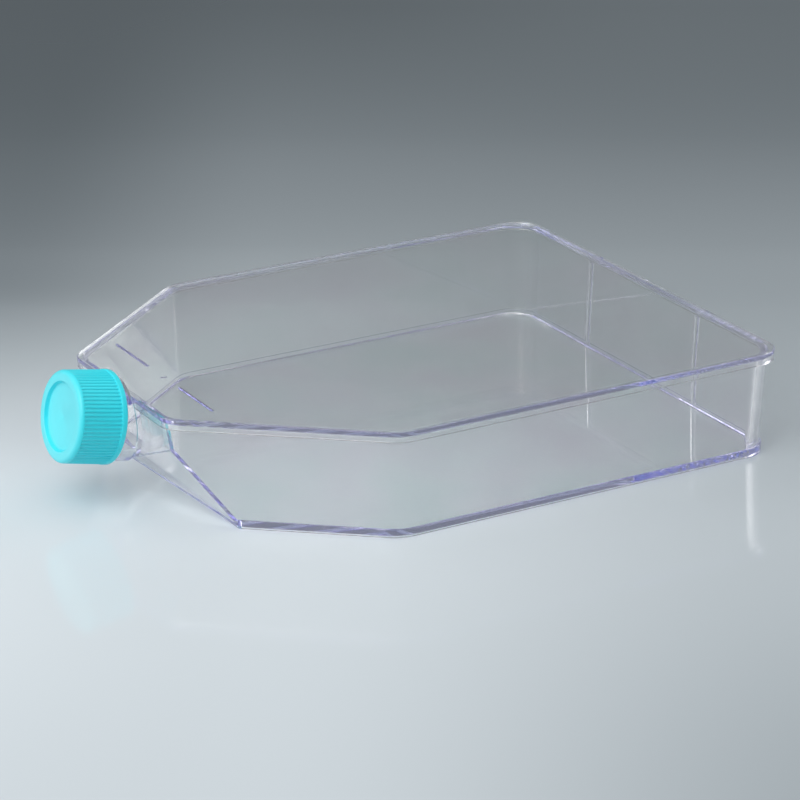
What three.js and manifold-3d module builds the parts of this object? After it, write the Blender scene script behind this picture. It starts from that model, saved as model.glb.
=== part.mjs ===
// Cell culture flask of the 300 cm2 class: a clear moulded tray with a canted neck, a clear top plate
// welded onto it, and a coarse-threaded screw cap with a loose seal liner.
// Millimetres, +Z up, neck towards -X. Distances along the tray are measured from the top plate's back
// edge (x = 0) until the whole flask is centred at the end.
import * as THREE from "three";
import { ConvexGeometry } from "three/addons/geometries/ConvexGeometry.js";
import { mergeVertices } from "three/addons/utils/BufferGeometryUtils.js";
import Module from "manifold-3d";

const wasm = await Module();
wasm.setup();

// ---- driving dimensions -----------------------------------------------------------------------------

const clearance = 0.3; // between separate mouldings

const plate = {
  length: 221.2,
  width: 174,
  shoulder: 158, // back edge to the start of the taper
  frontWidth: 71.8,
  backRadius: 11,
  shoulderRadius: 16,
  frontRadius: 9,
  sheet: 1.3, // thickness between the rims
  rimRise: 0.5,
  rimWidth: 2.15,
  skirtDrop: 1.9, // locating edge below the sheet
  skirtWall: 1.4,
};

const tray = {
  height: 39.4, // bench to the top of the plate's rim
  wall: 1.8,
  floor: 1.8,
  standHeight: 0.4, // the floor's underside is this far above the bench, inside a ring
  standWidth: 1.8,
  draft: 2.25, // degrees, the walls lean outwards going up
  floorFillet: 0.8, // inside, between the floor and the walls
  footHeight: 3.3, // bead round the foot
  footProud: 0.7,
  footSetback: 20.5, // front of the plate back to the front of the foot
  footFrontRadius: 2.5,
};

// The chute rises from the front of the foot and wraps the lower half of the neck.
const chute = {
  cornerRise: 27.8, // height of the front wall's lower corners
  kneeBack: 2.2, // the flanks bend this far behind those corners
  kneeDrop: 2, // and this far below them
};

const neck = {
  cant: 11.6, // degrees above the horizontal
  rise: 27.9, // height of the axis at the front wall
  length: 19.6, // front wall to the mouth, along the axis
  boreRadius: 11.4,
  wall: 1.9,
  throatStep: 0.8, // the root of the neck, proud of the tube
  collarStep: 2, // the plain collar between the top plate's front and the cap, proud of the tube
  edge: 0.5, // chamfer of the mouth and of the collar
};

const thread = {
  pitch: 4,
  height: 1.05,
  rootWidth: 1.7,
  crestWidth: 0.7,
  turns: 1.5,
  capTurns: 1.4,
  firstTurn: 8.4, // mouth of the neck back to the start of its thread
  fade: 0.14, // share of a thread that runs in and out at each end
};

const cap = {
  length: 17.8,
  wall: 1.45, // between the bore and the valleys of the ribs
  roof: 1.7,
  taper: 0.25, // loss of radius from the flange to the face
  flangeStep: 0.15,
  flangeLength: 1.9,
  faceRim: 4, // width of the ring round the sunken disc
  recessDepth: 1.4,
  edgeRound: 1.6,
  ribs: 72,
  ribDepth: 0.35,
};

const liner = {
  thickness: 1.7,
  beadHeight: 0.45, // snap bead in the cap that holds the liner
  beadWidth: 1.4,
};

const marks = {
  setback: 18.5, // behind the front of the plate
  middle: 2, // their middle, off the plate's own
  from: 12.4, // middle to the near end of each bar
  length: 25,
  width: 1.2,
  rise: 0.5,
  gateRadius: 1.1,
  gateRise: 0.25,
};

const backRib = { offset: 35.3, width: 2.4, depth: 1, edge: 0.3 };

const cornerSteps = 8; // segments of each rounded corner
const roundSteps = 96; // segments of a full turn
const helixSteps = 48; // segments of a turn of thread
const embed = 0.4; // overlap of features that are fused together
const far = 400; // beyond every piece

// ---- derived values ---------------------------------------------------------------------------------

const cant = THREE.MathUtils.degToRad(neck.cant);
const lean = Math.tan(THREE.MathUtils.degToRad(tray.draft));
const taperSlope = (plate.width - plate.frontWidth) / 2 / (plate.length - plate.shoulder);
const plateFront = -plate.length;
const sheetTop = tray.height - plate.rimRise;
const sheetUnderside = sheetTop - plate.sheet;
const skirtBottom = sheetUnderside - plate.skirtDrop;
const trayTop = sheetUnderside - clearance;
const footInset = plate.rimWidth + clearance; // a stacked flask's foot sits inside the rim
const footFront = plateFront + tray.footSetback;
const floorTop = tray.standHeight + tray.floor;
const wallInset = (z) => plate.skirtWall + clearance + (trayTop - z) * lean;
const frontWall = (z) => plateFront + wallInset(z);
const neckRoot = new THREE.Vector3(frontWall(neck.rise), 0, neck.rise);
const outward = new THREE.Vector3(-Math.cos(cant), 0, Math.sin(cant)); // along the neck, out of its mouth
const tubeRadius = neck.boreRadius + neck.wall;
const throatRadius = tubeRadius + neck.throatStep;
const collarRadius = tubeRadius + neck.collarStep;
const capBore = tubeRadius + thread.height + clearance;
const skirtRadius = capBore + cap.wall + cap.ribDepth;
const faceRadius = skirtRadius - cap.taper;
// Heights along the neck's axis, from the front wall: mouth, liner, roof and face of the cap, and back.
const linerBottom = neck.length + clearance;
const linerTop = linerBottom + liner.thickness;
const roofBottom = linerTop + clearance;
const capFace = roofBottom + cap.roof + cap.recessDepth;
const capStart = capFace - cap.length;
const linerRadius = capBore - clearance;
const threadStart = neck.length - thread.firstTurn;

// ---- meshes and solids ------------------------------------------------------------------------------

// Solid from a closed three.js geometry.
function solid(geometry) {
  const bare = geometry.clone();
  bare.deleteAttribute("normal");
  bare.deleteAttribute("uv");
  const closed = mergeVertices(bare, 1e-5);
  const mesh = new wasm.Mesh({
    numProp: 3,
    vertProperties: new Float32Array(closed.attributes.position.array),
    triVerts: new Uint32Array(closed.index.array),
  });
  return new wasm.Manifold(mesh);
}

// Named three.js mesh of a solid.
function piece(name, shape, material) {
  const mesh = shape.getMesh();
  const geometry = new THREE.BufferGeometry();
  geometry.setAttribute("position", new THREE.BufferAttribute(new Float32Array(mesh.vertProperties), 3));
  geometry.setIndex(new THREE.BufferAttribute(new Uint32Array(mesh.triVerts), 1));
  geometry.computeVertexNormals();
  const node = new THREE.Mesh(geometry, material);
  node.name = name;
  return node;
}

// Closed skin through loops of equally many points, each counter-clockwise seen from the last loop.
function skin(loops) {
  const n = loops[0].length;
  const last = (loops.length - 1) * n;
  const points = loops.flat();
  for (const end of [loops[0], loops[loops.length - 1]]) {
    points.push(end.reduce((sum, p) => sum.add(p), new THREE.Vector3()).divideScalar(n));
  }
  const index = [];
  for (let i = 0; i < n; i++) {
    const j = (i + 1) % n;
    for (let a = 0; a < last; a += n) {
      index.push(a + i, a + j, a + n + j, a + i, a + n + j, a + n + i);
    }
    index.push(last + n, j, i, last + n + 1, last + i, last + j);
  }
  const geometry = new THREE.BufferGeometry().setFromPoints(points);
  geometry.setIndex(index);
  return solid(geometry);
}

// Solid of revolution about +Z from [radius, height] pairs that start and end on the axis.
function turned(profile) {
  const points = profile.map(([r, z]) => new THREE.Vector2(r, z));
  return solid(new THREE.LatheGeometry(points, roundSteps).rotateX(Math.PI / 2));
}

// Disc about +Z between two heights.
function disc(radius, from, to) {
  return turned([
    [0, from],
    [radius, from],
    [radius, to],
    [0, to],
  ]);
}

// Box between two corners given as [x, y, z].
function block(low, high) {
  const [x, y, z] = high.map((value, axis) => value - low[axis]);
  const middle = high.map((value, axis) => (value + low[axis]) / 2);
  return solid(new THREE.BoxGeometry(x, y, z).translate(...middle));
}

// Places a solid drawn about +Z, with z = 0 at the front wall, on the neck's axis.
function onNeck(shape) {
  const turn = new THREE.Quaternion().setFromUnitVectors(new THREE.Vector3(0, 0, 1), outward);
  const matrix = new THREE.Matrix4().compose(neckRoot, turn, new THREE.Vector3(1, 1, 1));
  return shape.transform(matrix.elements);
}

// Ridge that climbs about +Z from a cylinder of the given radius; a negative height points inwards.
function helix(radius, height, turns, start) {
  const steps = Math.round(turns * helixSteps);
  const side = Math.sign(height);
  const loops = [];
  for (let k = 0; k <= steps; k++) {
    const along = k / steps;
    const full = THREE.MathUtils.clamp(Math.min(along, 1 - along) / thread.fade, 0.02, 1);
    const angle = 2 * Math.PI * turns * along;
    const z = start + thread.pitch * turns * along;
    const crest = thread.crestWidth / 2;
    const root = THREE.MathUtils.lerp(crest, thread.rootWidth / 2, full);
    const section = [
      [radius - side * embed, -root],
      [radius - side * embed, root],
      [radius, root],
      [radius + height * full, crest],
      [radius + height * full, -crest],
      [radius, -root],
    ];
    if (side < 0) section.reverse();
    const around = (r, height) => new THREE.Vector3(r * Math.cos(angle), r * Math.sin(angle), height);
    loops.push(section.map(([r, offset]) => around(r, z + offset)));
  }
  return skin(loops);
}

// ---- outline shared by the plate and the tray -------------------------------------------------------

// Half width of the tapered front at x, with the outline moved in by inset.
function taperHalfWidth(x, inset) {
  const edge = plate.width / 2 + taperSlope * (x + plate.shoulder);
  return edge - inset * Math.hypot(1, taperSlope);
}

// Arc that rounds one corner, given the corners before and after it.
function roundedCorner(before, corner, after) {
  const toBefore = new THREE.Vector2().subVectors(before.at, corner.at).normalize();
  const toAfter = new THREE.Vector2().subVectors(after.at, corner.at).normalize();
  const half = Math.acos(toBefore.dot(toAfter)) / 2;
  const bisector = toBefore.clone().add(toAfter).normalize();
  const centre = bisector.multiplyScalar(corner.radius / Math.sin(half)).add(corner.at);
  const start = toBefore.multiplyScalar(corner.radius / Math.tan(half)).add(corner.at);
  return Array.from({ length: cornerSteps + 1 }, (_, k) =>
    start.clone().rotateAround(centre, ((Math.PI - 2 * half) * k) / cornerSteps),
  );
}

// Loop of the six-sided outline at height z, moved in by inset, with its front edge at front.
function outline(z, inset, front, frontRadius = plate.frontRadius) {
  const side = plate.width / 2 - inset;
  const shoulder = -plate.shoulder + (side - taperHalfWidth(-plate.shoulder, inset)) / taperSlope;
  const half = [
    { at: new THREE.Vector2(-inset, side), radius: plate.backRadius },
    { at: new THREE.Vector2(shoulder, side), radius: plate.shoulderRadius },
    { at: new THREE.Vector2(front, taperHalfWidth(front, inset)), radius: frontRadius },
  ];
  const mirrored = half.map(({ at, radius }) => ({ at: new THREE.Vector2(at.x, -at.y), radius }));
  const corners = [...half, ...mirrored.reverse()];
  return corners
    .flatMap((corner, i) => roundedCorner(corners.at(i - 1), corner, corners[(i + 1) % corners.length]))
    .map((p) => new THREE.Vector3(p.x, p.y, z));
}

// ---- flask body -------------------------------------------------------------------------------------

// Edge between one taper wall and the chute, from the foot to the front wall, moved in by inset.
function flankEdge(inset, start) {
  const slope = Math.atan2(neck.rise - throatRadius, start.x - neckRoot.x);
  const endZ = chute.cornerRise + inset * (1 / Math.cos(slope));
  const endX = frontWall(endZ) + inset;
  const knee = new THREE.Vector2(endX + chute.kneeBack, endZ - chute.kneeDrop);
  const curve = new THREE.QuadraticBezierCurve(start, knee, new THREE.Vector2(endX, endZ));
  return curve
    .getPoints(cornerSteps)
    .map((p) => new THREE.Vector3(p.x, taperHalfWidth(p.x, wallInset(p.y) + inset), p.y));
}

// Where the chute leaves the floor: the front of the foot, or the same line inside a wall and a floor.
function chuteStart(inset, floor) {
  const x = footFront + tray.footProud;
  const slope = Math.atan2(neck.rise - throatRadius, x - neckRoot.x);
  return new THREE.Vector2(x + (inset - floor * Math.cos(slope)) / Math.sin(slope), floor);
}

// Form of the tray and its chute, moved in by inset: the convex body of its outlines and of the lower
// half of the neck where it meets the front wall.
function trayForm({ inset, floor, top, neckRadius, fillet }) {
  const start = chuteStart(inset, floor);
  const points = outline(top, wallInset(top) + inset, frontWall(top) + inset);
  for (let k = 0; k <= cornerSteps; k++) {
    const turn = (Math.PI / 2) * (k / cornerSteps);
    const z = floor + fillet * (1 - Math.cos(turn));
    const inner = wallInset(z) + inset + fillet * (1 - Math.sin(turn));
    points.push(...outline(z, inner, start.x, tray.footFrontRadius));
    if (fillet === 0) break;
  }
  const edge = flankEdge(inset, start);
  const corner = edge.pop();
  const frontTurn = Math.PI / 2 - Math.atan(taperSlope);
  corner.y -= plate.frontRadius * Math.tan(frontTurn / 2);
  for (const side of [-1, 1]) {
    for (const p of [...edge, corner]) points.push(new THREE.Vector3(p.x, side * p.y, p.z));
  }
  const axisRise = neck.rise - inset * Math.tan(cant);
  for (let k = 1; k < roundSteps / 2; k++) {
    const turn = (2 * Math.PI * k) / roundSteps;
    const z = axisRise - (neckRadius * Math.sin(turn)) / Math.cos(cant);
    points.push(new THREE.Vector3(frontWall(z) + inset, neckRadius * Math.cos(turn), z));
  }
  return solid(new ConvexGeometry(points));
}

// Slab with the foot's outline, moved in by inset: the bead round the foot, or the space under the floor.
function footSlab(inset, from, to) {
  const loop = (z) => outline(z, footInset + inset, footFront + inset, tray.footFrontRadius);
  return skin([loop(from), loop(to)]);
}

// Neck without its bore or thread; it starts within the tray and is stepped down under the cap. The
// collar stands wholly in front of the given plane.
function neckTube(start, collarBack) {
  const collarEnd = capStart - clearance;
  const tube = turned([
    [0, start],
    [throatRadius, start],
    [throatRadius, collarEnd - neck.edge],
    [tubeRadius, collarEnd - neck.edge],
    [tubeRadius, neck.length - neck.edge],
    [tubeRadius - neck.edge, neck.length],
    [0, neck.length],
  ]);
  const collar = turned([
    [0, start],
    [collarRadius, start],
    [collarRadius, collarEnd - neck.edge],
    [collarRadius - neck.edge, collarEnd],
    [0, collarEnd],
  ]);
  const ahead = block([-far, -far, 0], [collarBack, far, far]);
  return onNeck(tube).add(onNeck(collar).intersect(ahead));
}

// Upright rib on the outside of the back wall, leaning with the wall, from the bead up to the skirt.
function backWallRib(y) {
  const half = backRib.width / 2;
  const section = [
    [-embed, -half],
    [backRib.depth - backRib.edge, -half],
    [backRib.depth, backRib.edge - half],
    [backRib.depth, half - backRib.edge],
    [backRib.depth - backRib.edge, half],
    [-embed, half],
  ];
  const loop = (z) => section.map(([out, across]) => new THREE.Vector3(out - wallInset(z), y + across, z));
  return skin([loop(tray.footHeight - embed), loop(skirtBottom - clearance)]);
}

function flaskBody() {
  const within = -throatRadius / 2;
  // The neck's crown stands higher than the tray, so it stops in front of the top plate.
  const crownStop = plateFront - clearance;
  const plateSpace = block([crownStop, -far, trayTop], [far, far, far]);
  const crownWall = block([crownStop - tray.wall, -far, trayTop - tray.wall], [far, far, far]);
  const outer = trayForm({ inset: 0, floor: 0, top: trayTop, neckRadius: throatRadius, fillet: 0 });
  const inner = trayForm({
    inset: tray.wall,
    floor: floorTop,
    top: trayTop + clearance,
    neckRadius: neck.boreRadius,
    fillet: tray.floorFillet,
  });
  const bore = onNeck(disc(neck.boreRadius, within, neck.length + clearance)).subtract(crownWall);
  const ridge = onNeck(helix(tubeRadius, thread.height, thread.turns, threadStart));
  return outer
    .add(footSlab(0, 0, tray.footHeight))
    .add(neckTube(within, crownStop))
    .subtract(plateSpace)
    .subtract(footSlab(tray.standWidth, -embed, tray.standHeight))
    .add(ridge)
    .subtract(inner)
    .subtract(bore)
    .add(backWallRib(-backRib.offset))
    .add(backWallRib(backRib.offset));
}

// ---- top plate --------------------------------------------------------------------------------------

function topPlate() {
  const slab = (from, to, inset) =>
    skin([outline(from, inset, plateFront + inset), outline(to, inset, plateFront + inset)]);
  // The skirt is relieved where the neck passes under it.
  const underSheet = block([-far, -far, 0], [far, far, sheetUnderside]);
  const relief = onNeck(disc(throatRadius + clearance, -throatRadius, neck.length)).intersect(underSheet);
  const markX = plateFront + marks.setback;
  const mark = (low, high) =>
    block(
      [markX - marks.width / 2, marks.middle + low, sheetTop - embed],
      [markX + marks.width / 2, marks.middle + high, sheetTop + marks.rise],
    );
  const gate = disc(marks.gateRadius, sheetTop - embed, sheetTop + marks.gateRise);
  return slab(skirtBottom, tray.height, 0)
    .subtract(slab(sheetTop, far, plate.rimWidth))
    .subtract(slab(0, sheetUnderside, plate.skirtWall))
    .subtract(relief)
    .add(mark(-marks.from - marks.length, -marks.from))
    .add(mark(marks.from, marks.from + marks.length))
    .add(gate.translate([markX, marks.middle, 0]));
}

// ---- screw cap and liner ----------------------------------------------------------------------------

// Loop of the ribbed skirt at height z, with square-shouldered ribs of the given depth.
function ribbedLoop(z, radius, depth) {
  const points = cap.ribs * 4;
  return Array.from({ length: points }, (_, k) => {
    const r = k % 4 < 2 ? radius : radius - depth;
    const turn = (2 * Math.PI * (k + 0.5)) / points;
    return new THREE.Vector3(r * Math.cos(turn), r * Math.sin(turn), z);
  });
}

// Hollow of the cap with the snap bead that holds the liner.
function capHollow() {
  const beadRadius = linerRadius - liner.beadHeight;
  const beadTop = linerBottom - clearance;
  const ramp = (liner.beadWidth * 2) / 5;
  return turned([
    [0, capStart - clearance],
    [capBore, capStart - clearance],
    [capBore, beadTop - liner.beadWidth],
    [beadRadius, beadTop - liner.beadWidth + ramp],
    [beadRadius, beadTop - ramp],
    [capBore, beadTop],
    [capBore, roofBottom],
    [0, roofBottom],
  ]);
}

function screwCap() {
  const skirt = skin([
    ribbedLoop(capStart + cap.flangeLength / 2, skirtRadius, cap.ribDepth),
    ribbedLoop(capFace - cap.edgeRound, faceRadius, cap.ribDepth),
    ribbedLoop(capFace - cap.edgeRound * 0.3, faceRadius - cap.edgeRound * 0.45, 0),
    ribbedLoop(capFace, faceRadius - cap.edgeRound, 0),
  ]);
  const flangeRadius = skirtRadius + cap.flangeStep;
  const flangeEnd = capStart + cap.flangeLength;
  const flange = turned([
    [0, capStart],
    [flangeRadius, capStart],
    [flangeRadius, flangeEnd - cap.flangeStep],
    [skirtRadius, flangeEnd],
    [0, flangeEnd],
  ]);
  const recess = disc(faceRadius - cap.faceRim, capFace - cap.recessDepth, capFace + clearance);
  // The cap's ridge follows the flask side of the neck's ridge, a clearance away from its flank.
  const flankSlope = (thread.rootWidth - thread.crestWidth) / 2 / thread.height;
  const flanks = thread.rootWidth - (capBore - tubeRadius) * flankSlope;
  const behind = flanks + clearance * Math.hypot(1, flankSlope);
  const ridge = helix(capBore, -thread.height, thread.capTurns, threadStart - behind);
  return onNeck(skirt.add(flange).subtract(recess).subtract(capHollow()).add(ridge));
}

// ---- assembly ---------------------------------------------------------------------------------------

const clearPlastic = new THREE.MeshStandardMaterial({
  color: 0xdfe3ee,
  roughness: 0.05,
  metalness: 0,
  transparent: true,
  opacity: 0.3,
});
const turquoisePlastic = new THREE.MeshStandardMaterial({ color: 0x35c4d4, roughness: 0.45, metalness: 0 });
const whiteFoam = new THREE.MeshStandardMaterial({ color: 0xf2f2ee, roughness: 0.9, metalness: 0 });

const flask = new THREE.Group();
flask.add(piece("flask_body", flaskBody(), clearPlastic));
flask.add(piece("top_plate", topPlate(), clearPlastic));
flask.add(piece("screw_cap", screwCap(), turquoisePlastic));
flask.add(piece("seal_liner", onNeck(disc(linerRadius, linerBottom, linerTop)), whiteFoam));

// The origin lies on the bench, under the middle of the whole flask.
const extent = new THREE.Box3().setFromObject(flask);
flask.position.x = -(extent.min.x + extent.max.x) / 2;

export default flask;
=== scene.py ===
"""Looks of a clear cell culture flask with a turquoise screw cap, on a pale glossy bench.

Everything is in metres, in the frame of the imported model: the neck points to -X and the bench is z = 0.
"""

from __future__ import annotations

import logging
import math
from dataclasses import dataclass
from enum import Enum

import bmesh
import bpy
import numpy as np
from mathutils import Euler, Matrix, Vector

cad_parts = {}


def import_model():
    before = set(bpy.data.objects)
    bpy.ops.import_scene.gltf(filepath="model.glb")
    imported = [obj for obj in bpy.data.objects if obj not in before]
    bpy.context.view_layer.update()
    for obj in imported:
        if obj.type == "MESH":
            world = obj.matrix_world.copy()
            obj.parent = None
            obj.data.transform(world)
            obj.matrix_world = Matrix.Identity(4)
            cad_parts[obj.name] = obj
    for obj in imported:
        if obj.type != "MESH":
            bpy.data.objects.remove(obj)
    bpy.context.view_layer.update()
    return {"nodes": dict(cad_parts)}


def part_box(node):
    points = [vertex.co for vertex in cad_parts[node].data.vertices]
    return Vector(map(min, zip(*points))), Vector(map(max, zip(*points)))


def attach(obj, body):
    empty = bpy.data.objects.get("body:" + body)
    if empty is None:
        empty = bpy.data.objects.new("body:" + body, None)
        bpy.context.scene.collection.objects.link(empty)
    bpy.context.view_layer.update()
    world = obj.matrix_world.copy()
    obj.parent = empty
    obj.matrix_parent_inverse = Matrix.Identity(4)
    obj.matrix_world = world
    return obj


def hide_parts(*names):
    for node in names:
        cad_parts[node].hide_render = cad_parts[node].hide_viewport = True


Colour = tuple[float, float, float, float]
Triple = tuple[float, float, float]
LOG = logging.getLogger("flask")
MM = 0.001
MERGE = 0.002 * MM  # points nearer than this are one
PAST = 1 * MM  # how far a cut runs past what it cuts
FAR = 1.0  # beyond everything


# ---- shader expressions ----


class Socket:
    """A shader socket that takes part in Python arithmetic by adding Math nodes."""

    def __init__(self, tree: "Tree", socket: bpy.types.NodeSocket) -> None:
        """Wraps a socket of a tree."""
        self.tree = tree
        self.socket = socket

    def math(self, operation: str, *others: "Socket | float", flip: bool = False) -> "Socket":
        """Adds a Math node.

        Args:
            operation: the Math node's operation.
            others: its further operands.
            flip: True puts the first of the others before this socket.

        Returns:
            The node's result.
        """
        operands = [self, *others]
        if flip:
            operands[0], operands[1] = operands[1], operands[0]
        made = self.tree.add("ShaderNodeMath", {"operation": operation}, dict(enumerate(operands)))
        return made["Value"]

    def __add__(self, other: "Socket | float") -> "Socket":
        """Sum."""
        return self.math("ADD", other)

    def __radd__(self, other: float) -> "Socket":
        """Sum with a number in front."""
        return self.math("ADD", other, flip=True)

    def __sub__(self, other: "Socket | float") -> "Socket":
        """Difference."""
        return self.math("SUBTRACT", other)

    def __rsub__(self, other: float) -> "Socket":
        """Difference from a number."""
        return self.math("SUBTRACT", other, flip=True)

    def __mul__(self, other: "Socket | float") -> "Socket":
        """Product."""
        return self.math("MULTIPLY", other)

    def __rmul__(self, other: float) -> "Socket":
        """Product with a number in front."""
        return self.math("MULTIPLY", other, flip=True)

    def __truediv__(self, other: "Socket | float") -> "Socket":
        """Quotient."""
        return self.math("DIVIDE", other)

    def __rtruediv__(self, other: float) -> "Socket":
        """Quotient of a number and this."""
        return self.math("DIVIDE", other, flip=True)

    def eased(self) -> "Socket":
        """Value held between 0 and 1, with soft ends."""
        share = self.math("MINIMUM", 1.0).math("MAXIMUM", 0.0)
        return share * share * (3 - 2 * share)


class Node:
    """A shader node whose outputs are read by name."""

    def __init__(self, tree: "Tree", node: bpy.types.Node) -> None:
        """Wraps a node of a tree."""
        self.tree = tree
        self.node = node

    def __getitem__(self, name: str) -> Socket:
        """Output socket of that name."""
        return Socket(self.tree, self.node.outputs[name])


class Tree:
    """The node tree of a material or a world, under construction."""

    def __init__(self, owner: bpy.types.Material | bpy.types.World) -> None:
        """Turns the owner's nodes on and empties its tree.

        Args:
            owner: the material or the world.
        """
        owner.use_nodes = True
        self.tree = owner.node_tree
        self.tree.nodes.clear()

    def add(
        self,
        kind: str,
        settings: dict[str, object] | None = None,
        values: dict[str | int, object] | None = None,
    ) -> Node:
        """Adds one node.

        Args:
            kind: the node's type name.
            settings: its properties, with "stops" for a ramp's list of (position, colour) and "curve" for
                the way it runs between them.
            values: numbers, colours or sockets for its inputs, by name or place.

        Returns:
            The node.
        """
        node = self.tree.nodes.new(kind)
        for name, value in (settings or {}).items():
            if name == "stops":
                self._stops(node.color_ramp, value)
            elif name == "curve":
                node.color_ramp.interpolation = value
            else:
                setattr(node, name, value)
        for name, value in (values or {}).items():
            if isinstance(value, Socket):
                self.tree.links.new(value.socket, node.inputs[name])
            else:
                node.inputs[name].default_value = value
        return Node(self, node)

    @staticmethod
    def _stops(ramp: bpy.types.ColorRamp, stops: list[tuple[float, tuple[float, ...]]]) -> None:
        """Sets a ramp's stops.

        Args:
            ramp: the ramp.
            stops: list of (position, colour) in rising order.
        """
        while len(ramp.elements) < len(stops):
            ramp.elements.new(1.0)
        for element, (position, colour) in zip(ramp.elements, stops):
            element.position = position
            element.color = colour

    def blend(self, share: Socket, first: object, second: object) -> Socket:
        """Mix of two colours.

        Args:
            share: how much of the second there is.
            first: a colour or a socket.
            second: a colour or a socket.

        Returns:
            The colour.
        """
        mixed = self.add("ShaderNodeMix", {"data_type": "RGBA"}, {"Factor": share, 6: first, 7: second})
        return Socket(self, mixed.node.outputs[2])

    def vector(self, operation: str, *operands: object) -> Node:
        """Adds a Vector Math node on vectors or sockets."""
        return self.add("ShaderNodeVectorMath", {"operation": operation}, dict(enumerate(operands)))


def linear(red: float, green: float, blue: float) -> Colour:
    """Linear colour from display values, by the usual curve of displays.

    Args:
        red: 0 to 255.
        green: 0 to 255.
        blue: 0 to 255.

    Returns:
        The colour, opaque.
    """
    srgb = np.array([red, green, blue]) / 255
    values = np.where(srgb <= 0.04045, srgb / 12.92, ((srgb + 0.055) / 1.055) ** 2.4)
    return (*(float(v) for v in values), 1.0)


def scaled(colour: tuple[float, ...], level: float) -> Colour:
    """Colour times a level."""
    red, green, blue = (part * level for part in colour[:3])
    return red, green, blue, 1.0


# ---- finishes ----


@dataclass(frozen=True)
class ClearPlastic:
    """Clear polystyrene with a trace of violet toner, which shows only along its edges.

    Faint green and rose clouds stand for the strain left by moulding.
    """

    name: str = "clear_polystyrene"
    ior: float = 1.59
    roughness: float = 0.0
    toner: Colour = (0.82, 0.81, 0.985, 1.0)
    toner_density: float = 9.0
    green_cloud: Colour = (0.972, 0.992, 0.984, 1.0)
    clear: Colour = (1.0, 1.0, 1.0, 1.0)
    rose_cloud: Colour = (0.992, 0.972, 0.984, 1.0)
    cloud_levels: Triple = (0.36, 0.5, 0.64)
    cloud_size: float = 45 * MM

    def build(self) -> bpy.types.Material:
        """Refracting shader with clouded clearness and an absorbing volume.

        Returns:
            The material.
        """
        material = bpy.data.materials.new(self.name)
        tree = Tree(material)
        place = tree.add("ShaderNodeTexCoord")["Object"]
        size = 1 / self.cloud_size
        cloud = tree.add("ShaderNodeTexNoise", values={"Vector": place, "Scale": size, "Detail": 2.0})
        low, middle, high = self.cloud_levels
        stops = [(low, self.green_cloud), (middle, self.clear), (high, self.rose_cloud)]
        clearness = tree.add("ShaderNodeValToRGB", {"stops": stops}, {"Fac": cloud["Fac"]})
        glass = tree.add(
            "ShaderNodeBsdfPrincipled",
            values={
                "Base Color": clearness["Color"],
                "Roughness": self.roughness,
                "IOR": self.ior,
                "Transmission Weight": 1.0,
            },
        )
        volume = tree.add(
            "ShaderNodeVolumeAbsorption",
            values={"Color": self.toner, "Density": self.toner_density},
        )
        tree.add("ShaderNodeOutputMaterial", values={"Surface": glass["BSDF"], "Volume": volume["Volume"]})
        return material


@dataclass(frozen=True)
class MouldedPlastic:
    """Coloured polyethylene with the faint grain of its mould."""

    name: str
    colour: Colour
    roughness: float = 0.36
    grain: float = 0.15 * MM
    grain_height: float = 0.008 * MM
    grain_strength: float = 0.25
    roughness_spread: float = 0.08
    mottle_scale: float = 180.0
    mottle_level: float = 0.93

    def build(self) -> bpy.types.Material:
        """Satin shader with grain in its roughness, colour and normal.

        Returns:
            The material.
        """
        material = bpy.data.materials.new(self.name)
        tree = Tree(material)
        place = tree.add("ShaderNodeTexCoord")["Object"]
        fine = tree.add("ShaderNodeTexNoise", values={"Vector": place, "Scale": 1 / self.grain, "Detail": 2.0})
        size = self.mottle_scale
        broad = tree.add("ShaderNodeTexNoise", values={"Vector": place, "Scale": size, "Detail": 3.0})
        bump = tree.add(
            "ShaderNodeBump",
            values={"Height": fine["Fac"], "Strength": self.grain_strength, "Distance": self.grain_height},
        )
        plain, mottled = (self.base(tree, place, level) for level in (1.0, self.mottle_level))
        colour = tree.blend(broad["Fac"], plain, mottled)
        shader = tree.add(
            "ShaderNodeBsdfPrincipled",
            values={
                "Base Color": colour,
                "Roughness": self.roughness + self.roughness_spread * (fine["Fac"] - 0.5),
                "Normal": bump["Normal"],
            },
        )
        tree.add("ShaderNodeOutputMaterial", values={"Surface": shader["BSDF"]})
        return material

    def base(self, tree: Tree, place: Socket, level: float) -> Socket | Colour:
        """The plastic's own colour times a level, the same all over."""
        return scaled(self.colour, level)


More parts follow.
